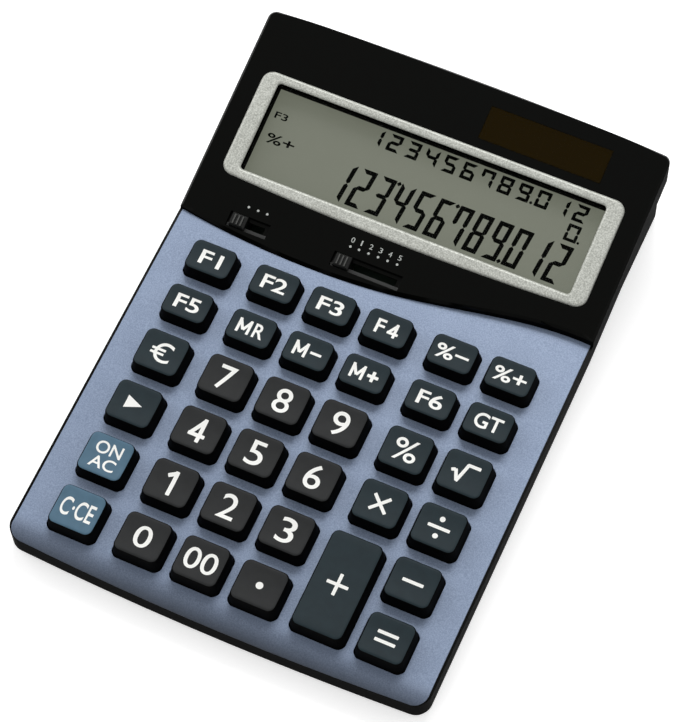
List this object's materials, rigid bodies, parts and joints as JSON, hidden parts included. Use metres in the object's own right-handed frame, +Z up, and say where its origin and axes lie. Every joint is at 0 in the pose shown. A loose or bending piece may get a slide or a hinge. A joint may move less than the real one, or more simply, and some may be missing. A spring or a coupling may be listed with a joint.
{
  "type": "solar desk calculator",
  "caption": "Desk calculator with a tilted two-line display, a small solar panel, two slide switches and sprung keys in a blue-grey plate.",
  "frame": {"origin": "on the desk under the middle of the calculator, between its four feet", "axes": "+Z up, +Y from the user to the display at the back, +X to the right"},
  "size_m": [0.1442, 0.2038, 0.0378],
  "materials": {
    "black_case": "glossy moulded plastic",
    "black_base": "fine texture",
    "blue_plate": "blue-grey brushed metallic",
    "silver_bezel": "silver paint",
    "clear_window": "clear",
    "display_glass": "grey-green display",
    "white_holder": "moulded",
    "contact_rubber": "soft",
    "circuit_board": "bare board",
    "tinted_window": "dark tinted",
    "solar_cell": "dark film on glass",
    "switch_knob": "moulded",
    "spring_metal": "plated strip",
    "battery_steel": "bright",
    "screw_steel": "zinc",
    "silicone_mat": "soft",
    "feet_rubber": "matt",
    "ribbon_film": "flexible film",
    "lead_cover": "insulated lead",
    "chip_resin": "resin blob",
    "digit_keys": "moulded, printed legend",
    "function_keys": "moulded, printed legend",
    "clear_keys": "moulded, printed legend"
  },
  "bodies": {
    "calculator_body": {"battery_cell": "battery_steel", "battery_contacts": "spring_metal", "board_ribbon": "ribbon_film", "case_screws": "screw_steel", "controller_chip": "chip_resin", "display_bezel": "silver_bezel", "display_board": "circuit_board", "display_window": "clear_window", "hookup_leads": "lead_cover", "key_board": "circuit_board", "key_mat": "silicone_mat", "keyboard_plate": "blue_plate", "lcd_contact_strip": "contact_rubber", "lcd_glass": "display_glass", "lcd_holder": "white_holder", "lower_case": "black_base", "rubber_feet": "feet_rubber", "solar_cell": "solar_cell", "solar_window": "tinted_window", "upper_case": "black_case"},
    "rounding_switch": {"rounding_switch_knob": "switch_knob", "rounding_switch_wiper": "spring_metal"},
    "decimal_switch": {"decimal_switch_knob": "switch_knob", "decimal_switch_wiper": "spring_metal"},
    "battery_door": {"battery_cover": "black_base"},
    "key_0": {"key_0": "digit_keys"},
    "key_00": {"key_00": "digit_keys"},
    "key_1": {"key_1": "digit_keys"},
    "key_2": {"key_2": "digit_keys"},
    "key_3": {"key_3": "digit_keys"},
    "key_4": {"key_4": "digit_keys"},
    "key_5": {"key_5": "digit_keys"},
    "key_6": {"key_6": "digit_keys"},
    "key_7": {"key_7": "digit_keys"},
    "key_8": {"key_8": "digit_keys"},
    "key_9": {"key_9": "digit_keys"},
    "key_backspace": {"key_backspace": "function_keys"},
    "key_change": {"key_change": "function_keys"},
    "key_clear_entry": {"key_clear_entry": "clear_keys"},
    "key_cost": {"key_cost": "function_keys"},
    "key_divide": {"key_divide": "function_keys"},
    "key_equals": {"key_equals": "function_keys"},
    "key_euro": {"key_euro": "function_keys"},
    "key_grand_total": {"key_grand_total": "function_keys"},
    "key_hms": {"key_hms": "function_keys"},
    "key_local": {"key_local": "function_keys"},
    "key_margin": {"key_margin": "function_keys"},
    "key_memory_minus": {"key_memory_minus": "function_keys"},
    "key_memory_plus": {"key_memory_plus": "function_keys"},
    "key_memory_recall": {"key_memory_recall": "function_keys"},
    "key_minus": {"key_minus": "function_keys"},
    "key_multiply": {"key_multiply": "function_keys"},
    "key_on_clear": {"key_on_clear": "clear_keys"},
    "key_percent": {"key_percent": "function_keys"},
    "key_plus": {"key_plus": "function_keys"},
    "key_point": {"key_point": "digit_keys"},
    "key_sell": {"key_sell": "function_keys"},
    "key_square_root": {"key_square_root": "function_keys"},
    "key_tax_minus": {"key_tax_minus": "function_keys"},
    "key_tax_plus": {"key_tax_plus": "function_keys"}
  },
  "joints": [
    {"name": "rounding_switch_slide", "type": "slide", "parent": "calculator_body", "child": "rounding_switch", "axis": [1, 0, 0], "range_m": [0, 0.0068]},
    {"name": "decimal_switch_slide", "type": "slide", "parent": "calculator_body", "child": "decimal_switch", "axis": [1, 0, 0], "range_m": [0, 0.0168]},
    {"name": "battery_cover_slide", "type": "slide", "parent": "calculator_body", "child": "battery_door", "axis": [0, 1, 0], "range_m": [0, 0.026]},
    {"name": "key_0_press", "type": "slide", "parent": "calculator_body", "child": "key_0", "axis": [0, 0.0436, -0.999], "range_m": [0, 0.002], "stiffness_N_per_m": 300, "springref_m": -0.0005, "deforming": ["key_mat"]},
    {"name": "key_00_press", "type": "slide", "parent": "calculator_body", "child": "key_00", "axis": [0, 0.0436, -0.999], "range_m": [0, 0.002], "stiffness_N_per_m": 300, "springref_m": -0.0005, "deforming": ["key_mat"]},
    {"name": "key_1_press", "type": "slide", "parent": "calculator_body", "child": "key_1", "axis": [0, 0.0436, -0.999], "range_m": [0, 0.002], "stiffness_N_per_m": 300, "springref_m": -0.0005, "deforming": ["key_mat"]},
    {"name": "key_2_press", "type": "slide", "parent": "calculator_body", "child": "key_2", "axis": [0, 0.0436, -0.999], "range_m": [0, 0.002], "stiffness_N_per_m": 300, "springref_m": -0.0005, "deforming": ["key_mat"]},
    {"name": "key_3_press", "type": "slide", "parent": "calculator_body", "child": "key_3", "axis": [0, 0.0436, -0.999], "range_m": [0, 0.002], "stiffness_N_per_m": 300, "springref_m": -0.0005, "deforming": ["key_mat"]},
    {"name": "key_4_press", "type": "slide", "parent": "calculator_body", "child": "key_4", "axis": [0, 0.0436, -0.999], "range_m": [0, 0.002], "stiffness_N_per_m": 300, "springref_m": -0.0005, "deforming": ["key_mat"]},
    {"name": "key_5_press", "type": "slide", "parent": "calculator_body", "child": "key_5", "axis": [0, 0.0436, -0.999], "range_m": [0, 0.002], "stiffness_N_per_m": 300, "springref_m": -0.0005, "deforming": ["key_mat"]},
    {"name": "key_6_press", "type": "slide", "parent": "calculator_body", "child": "key_6", "axis": [0, 0.0436, -0.999], "range_m": [0, 0.002], "stiffness_N_per_m": 300, "springref_m": -0.0005, "deforming": ["key_mat"]},
    {"name": "key_7_press", "type": "slide", "parent": "calculator_body", "child": "key_7", "axis": [0, 0.0436, -0.999], "range_m": [0, 0.002], "stiffness_N_per_m": 300, "springref_m": -0.0005, "deforming": ["key_mat"]},
    {"name": "key_8_press", "type": "slide", "parent": "calculator_body", "child": "key_8", "axis": [0, 0.0436, -0.999], "range_m": [0, 0.002], "stiffness_N_per_m": 300, "springref_m": -0.0005, "deforming": ["key_mat"]},
    {"name": "key_9_press", "type": "slide", "parent": "calculator_body", "child": "key_9", "axis": [0, 0.0436, -0.999], "range_m": [0, 0.002], "stiffness_N_per_m": 300, "springref_m": -0.0005, "deforming": ["key_mat"]},
    {"name": "key_backspace_press", "type": "slide", "parent": "calculator_body", "child": "key_backspace", "axis": [0, 0.0436, -0.999], "range_m": [0, 0.002], "stiffness_N_per_m": 300, "springref_m": -0.0005, "deforming": ["key_mat"]},
    {"name": "key_change_press", "type": "slide", "parent": "calculator_body", "child": "key_change", "axis": [0, 0.0436, -0.999], "range_m": [0, 0.002], "stiffness_N_per_m": 300, "springref_m": -0.0005, "deforming": ["key_mat"]},
    {"name": "key_clear_entry_press", "type": "slide", "parent": "calculator_body", "child": "key_clear_entry", "axis": [0, 0.0436, -0.999], "range_m": [0, 0.002], "stiffness_N_per_m": 300, "springref_m": -0.0005, "deforming": ["key_mat"]},
    {"name": "key_cost_press", "type": "slide", "parent": "calculator_body", "child": "key_cost", "axis": [0, 0.0436, -0.999], "range_m": [0, 0.002], "stiffness_N_per_m": 300, "springref_m": -0.0005, "deforming": ["key_mat"]},
    {"name": "key_divide_press", "type": "slide", "parent": "calculator_body", "child": "key_divide", "axis": [0, 0.0436, -0.999], "range_m": [0, 0.002], "stiffness_N_per_m": 300, "springref_m": -0.0005, "deforming": ["key_mat"]},
    {"name": "key_equals_press", "type": "slide", "parent": "calculator_body", "child": "key_equals", "axis": [0, 0.0436, -0.999], "range_m": [0, 0.002], "stiffness_N_per_m": 300, "springref_m": -0.0005, "deforming": ["key_mat"]},
    {"name": "key_euro_press", "type": "slide", "parent": "calculator_body", "child": "key_euro", "axis": [0, 0.0436, -0.999], "range_m": [0, 0.002], "stiffness_N_per_m": 300, "springref_m": -0.0005, "deforming": ["key_mat"]},
    {"name": "key_grand_total_press", "type": "slide", "parent": "calculator_body", "child": "key_grand_total", "axis": [0, 0.0436, -0.999], "range_m": [0, 0.002], "stiffness_N_per_m": 300, "springref_m": -0.0005, "deforming": ["key_mat"]},
    {"name": "key_hms_press", "type": "slide", "parent": "calculator_body", "child": "key_hms", "axis": [0, 0.0436, -0.999], "range_m": [0, 0.002], "stiffness_N_per_m": 300, "springref_m": -0.0005, "deforming": ["key_mat"]},
    {"name": "key_local_press", "type": "slide", "parent": "calculator_body", "child": "key_local", "axis": [0, 0.0436, -0.999], "range_m": [0, 0.002], "stiffness_N_per_m": 300, "springref_m": -0.0005, "deforming": ["key_mat"]},
    {"name": "key_margin_press", "type": "slide", "parent": "calculator_body", "child": "key_margin", "axis": [0, 0.0436, -0.999], "range_m": [0, 0.002], "stiffness_N_per_m": 300, "springref_m": -0.0005, "deforming": ["key_mat"]},
    {"name": "key_memory_minus_press", "type": "slide", "parent": "calculator_body", "child": "key_memory_minus", "axis": [0, 0.0436, -0.999], "range_m": [0, 0.002], "stiffness_N_per_m": 300, "springref_m": -0.0005, "deforming": ["key_mat"]},
    {"name": "key_memory_plus_press", "type": "slide", "parent": "calculator_body", "child": "key_memory_plus", "axis": [0, 0.0436, -0.999], "range_m": [0, 0.002], "stiffness_N_per_m": 300, "springref_m": -0.0005, "deforming": ["key_mat"]},
    {"name": "key_memory_recall_press", "type": "slide", "parent": "calculator_body", "child": "key_memory_recall", "axis": [0, 0.0436, -0.999], "range_m": [0, 0.002], "stiffness_N_per_m": 300, "springref_m": -0.0005, "deforming": ["key_mat"]},
    {"name": "key_minus_press", "type": "slide", "parent": "calculator_body", "child": "key_minus", "axis": [0, 0.0436, -0.999], "range_m": [0, 0.002], "stiffness_N_per_m": 300, "springref_m": -0.0005, "deforming": ["key_mat"]},
    {"name": "key_multiply_press", "type": "slide", "parent": "calculator_body", "child": "key_multiply", "axis": [0, 0.0436, -0.999], "range_m": [0, 0.002], "stiffness_N_per_m": 300, "springref_m": -0.0005, "deforming": ["key_mat"]},
    {"name": "key_on_clear_press", "type": "slide", "parent": "calculator_body", "child": "key_on_clear", "axis": [0, 0.0436, -0.999], "range_m": [0, 0.002], "stiffness_N_per_m": 300, "springref_m": -0.0005, "deforming": ["key_mat"]},
    {"name": "key_percent_press", "type": "slide", "parent": "calculator_body", "child": "key_percent", "axis": [0, 0.0436, -0.999], "range_m": [0, 0.002], "stiffness_N_per_m": 300, "springref_m": -0.0005, "deforming": ["key_mat"]},
    {"name": "key_plus_press", "type": "slide", "parent": "calculator_body", "child": "key_plus", "axis": [0, 0.0436, -0.999], "range_m": [0, 0.002], "stiffness_N_per_m": 300, "springref_m": -0.0005, "deforming": ["key_mat"]},
    {"name": "key_point_press", "type": "slide", "parent": "calculator_body", "child": "key_point", "axis": [0, 0.0436, -0.999], "range_m": [0, 0.002], "stiffness_N_per_m": 300, "springref_m": -0.0005, "deforming": ["key_mat"]},
    {"name": "key_sell_press", "type": "slide", "parent": "calculator_body", "child": "key_sell", "axis": [0, 0.0436, -0.999], "range_m": [0, 0.002], "stiffness_N_per_m": 300, "springref_m": -0.0005, "deforming": ["key_mat"]},
    {"name": "key_square_root_press", "type": "slide", "parent": "calculator_body", "child": "key_square_root", "axis": [0, 0.0436, -0.999], "range_m": [0, 0.002], "stiffness_N_per_m": 300, "springref_m": -0.0005, "deforming": ["key_mat"]},
    {"name": "key_tax_minus_press", "type": "slide", "parent": "calculator_body", "child": "key_tax_minus", "axis": [0, 0.0436, -0.999], "range_m": [0, 0.002], "stiffness_N_per_m": 300, "springref_m": -0.0005, "deforming": ["key_mat"]},
    {"name": "key_tax_plus_press", "type": "slide", "parent": "calculator_body", "child": "key_tax_plus", "axis": [0, 0.0436, -0.999], "range_m": [0, 0.002], "stiffness_N_per_m": 300, "springref_m": -0.0005, "deforming": ["key_mat"]}
  ]
}
